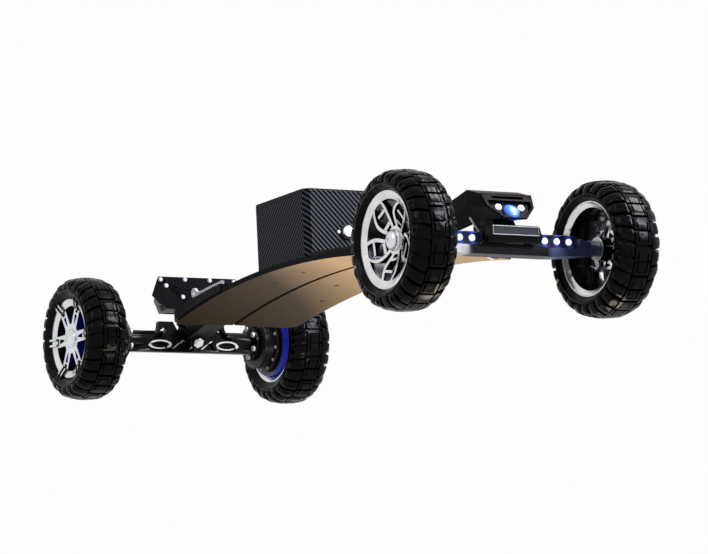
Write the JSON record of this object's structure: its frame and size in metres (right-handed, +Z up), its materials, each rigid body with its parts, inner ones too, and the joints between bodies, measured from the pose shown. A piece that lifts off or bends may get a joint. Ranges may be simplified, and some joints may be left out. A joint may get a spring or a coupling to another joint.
{
  "type": "electric mountainboard",
  "caption": "Arched deck with foot pads and a battery case on two steering trucks with block-tread tyres, lamps at the front and geared hub motors at the rear.",
  "frame": {"origin": "on the ground below the middle of the wheelbase, on the board's centre plane", "axes": "+X forward towards the headlamp, +Y to the rider's left, +Z up from the ground under the tyres"},
  "size_m": [1.184, 0.447, 0.246],
  "materials": {
    "deck_wood": "clear lacquered laminate, satin",
    "front_pad": "ribbed foam rubber, matt",
    "rear_pad": "ribbed foam rubber, matt",
    "white_plastic": "gloss",
    "carbon_case": "clear coated carbon weave",
    "cells": "wrapped cells",
    "black_trim": "gloss",
    "chrome_cap": "polished",
    "white_lamp": "lit, clear",
    "black_metal": "satin black",
    "steel": "bright zinc",
    "white_screws": "gloss white",
    "black_shell": "moulded, semi gloss",
    "blue_lens": "lit blue lens",
    "controller": "anodised",
    "grey_beam": "satin grey",
    "bushing": "moulded urethane",
    "light_bar": "dark lens",
    "block": "moulded, semi gloss",
    "black_gloss_metal": "gloss black, cast",
    "motor_black": "anodised, turned",
    "copper": "enamelled winding",
    "gear_steel": "cut gear teeth",
    "tyre": "moulded block tread",
    "bright_rim": "polished casting",
    "bearing": "polished",
    "blue_ring": "blue anodised"
  },
  "bodies": {
    "board": {"deck": "deck_wood", "front_pad": "front_pad", "rear_pad": "rear_pad", "foot_rails": "white_plastic", "battery_case": "carbon_case", "battery_lid": "carbon_case", "battery_cells": "cells", "button_bezel": "black_trim", "status_lamp": "white_lamp", "front_base": "black_metal", "rear_base": "black_metal", "kingpins": "steel", "deck_bolts": "steel", "housing_screws": "white_screws", "lamp_housing": "black_shell", "lamp_lens": "blue_lens", "side_lamps": "white_lamp", "lamp_stays": "white_screws", "rear_cover": "black_shell", "controller": "controller"},
    "button": {"power_button": "chrome_cap"},
    "front_truck": {"front_hanger": "grey_beam", "front_bushings": "bushing", "light_bars": "light_bar", "bar_lamps": "white_lamp", "name_block": "block", "front_axle": "steel", "front_axle_nuts": "steel"},
    "rear_truck": {"rear_hanger": "black_gloss_metal", "rear_bushings": "bushing", "rear_axle": "steel", "rear_axle_nuts": "steel", "left_motor": "motor_black", "right_motor": "motor_black", "stators": "copper", "motor_bolts": "white_screws"},
    "front_left_wheel": {"front_left_tyre": "tyre", "front_left_rim": "bright_rim", "front_left_bearings": "bearing"},
    "front_right_wheel": {"front_right_tyre": "tyre", "front_right_rim": "bright_rim", "front_right_bearings": "bearing"},
    "rear_left_wheel": {"rear_left_tyre": "tyre", "rear_left_rim": "bright_rim", "rear_left_bearings": "bearing", "rear_left_ring_gear": "blue_ring", "rear_left_hub_cap": "bright_rim"},
    "left_rotor_body": {"left_rotor": "gear_steel"},
    "left_planet_1_body": {"left_planet_1": "gear_steel"},
    "left_planet_2_body": {"left_planet_2": "gear_steel"},
    "left_planet_3_body": {"left_planet_3": "gear_steel"},
    "rear_right_wheel": {"rear_right_tyre": "tyre", "rear_right_rim": "bright_rim", "rear_right_bearings": "bearing", "rear_right_ring_gear": "blue_ring", "rear_right_hub_cap": "bright_rim"},
    "right_rotor_body": {"right_rotor": "gear_steel"},
    "right_planet_1_body": {"right_planet_1": "gear_steel"},
    "right_planet_2_body": {"right_planet_2": "gear_steel"},
    "right_planet_3_body": {"right_planet_3": "gear_steel"}
  },
  "joints": [
    {"name": "button_press", "type": "slide", "parent": "board", "child": "button", "axis": [-1, 0, 0], "range_m": [0, 0.0015], "stiffness_N_per_m": 400},
    {"name": "front_steer", "type": "hinge", "parent": "board", "child": "front_truck", "pos_m": [0.476, 0, 0.11], "axis": [0.8192, 0, 0.5736], "range_deg": [-15, 15], "stiffness_Nm_per_rad": 60},
    {"name": "rear_steer", "type": "hinge", "parent": "board", "child": "rear_truck", "pos_m": [-0.476, 0, 0.11], "axis": [-0.8192, 0, 0.5736], "range_deg": [-15, 15], "stiffness_Nm_per_rad": 60},
    {"name": "front_left_spin", "type": "hinge", "parent": "front_truck", "child": "front_left_wheel", "pos_m": [0.492, 0.169, 0.1], "axis": [0, 1, 0], "continuous": true},
    {"name": "front_right_spin", "type": "hinge", "parent": "front_truck", "child": "front_right_wheel", "pos_m": [0.492, -0.169, 0.1], "axis": [0, 1, 0], "continuous": true},
    {"name": "rear_left_spin", "type": "hinge", "parent": "rear_truck", "child": "rear_left_wheel", "pos_m": [-0.492, 0.187, 0.1], "axis": [0, 1, 0], "continuous": true},
    {"name": "left_rotor_spin", "type": "hinge", "parent": "rear_truck", "child": "left_rotor_body", "pos_m": [-0.492, 0.155, 0.1], "axis": [0, 1, 0], "continuous": true},
    {"name": "left_planet_1_spin", "type": "hinge", "parent": "rear_truck", "child": "left_planet_1_body", "pos_m": [-0.492, 0.158, 0.07], "axis": [0, 1, 0], "continuous": true},
    {"name": "left_planet_2_spin", "type": "hinge", "parent": "rear_truck", "child": "left_planet_2_body", "pos_m": [-0.46602, 0.158, 0.115], "axis": [0, 1, 0], "continuous": true},
    {"name": "left_planet_3_spin", "type": "hinge", "parent": "rear_truck", "child": "left_planet_3_body", "pos_m": [-0.51798, 0.158, 0.115], "axis": [0, 1, 0], "continuous": true},
    {"name": "rear_right_spin", "type": "hinge", "parent": "rear_truck", "child": "rear_right_wheel", "pos_m": [-0.492, -0.187, 0.1], "axis": [0, 1, 0], "continuous": true},
    {"name": "right_rotor_spin", "type": "hinge", "parent": "rear_truck", "child": "right_rotor_body", "pos_m": [-0.492, -0.155, 0.1], "axis": [0, 1, 0], "continuous": true},
    {"name": "right_planet_1_spin", "type": "hinge", "parent": "rear_truck", "child": "right_planet_1_body", "pos_m": [-0.492, -0.158, 0.07], "axis": [0, 1, 0], "continuous": true},
    {"name": "right_planet_2_spin", "type": "hinge", "parent": "rear_truck", "child": "right_planet_2_body", "pos_m": [-0.46602, -0.158, 0.115], "axis": [0, 1, 0], "continuous": true},
    {"name": "right_planet_3_spin", "type": "hinge", "parent": "rear_truck", "child": "right_planet_3_body", "pos_m": [-0.51798, -0.158, 0.115], "axis": [0, 1, 0], "continuous": true}
  ],
  "couplings": [
    {"joint": "left_rotor_spin", "follows": "rear_left_spin", "ratio": -3},
    {"joint": "left_planet_1_spin", "follows": "rear_left_spin", "ratio": 3},
    {"joint": "left_planet_2_spin", "follows": "rear_left_spin", "ratio": 3},
    {"joint": "left_planet_3_spin", "follows": "rear_left_spin", "ratio": 3},
    {"joint": "right_rotor_spin", "follows": "rear_right_spin", "ratio": -3},
    {"joint": "right_planet_1_spin", "follows": "rear_right_spin", "ratio": 3},
    {"joint": "right_planet_2_spin", "follows": "rear_right_spin", "ratio": 3},
    {"joint": "right_planet_3_spin", "follows": "rear_right_spin", "ratio": 3}
  ]
}
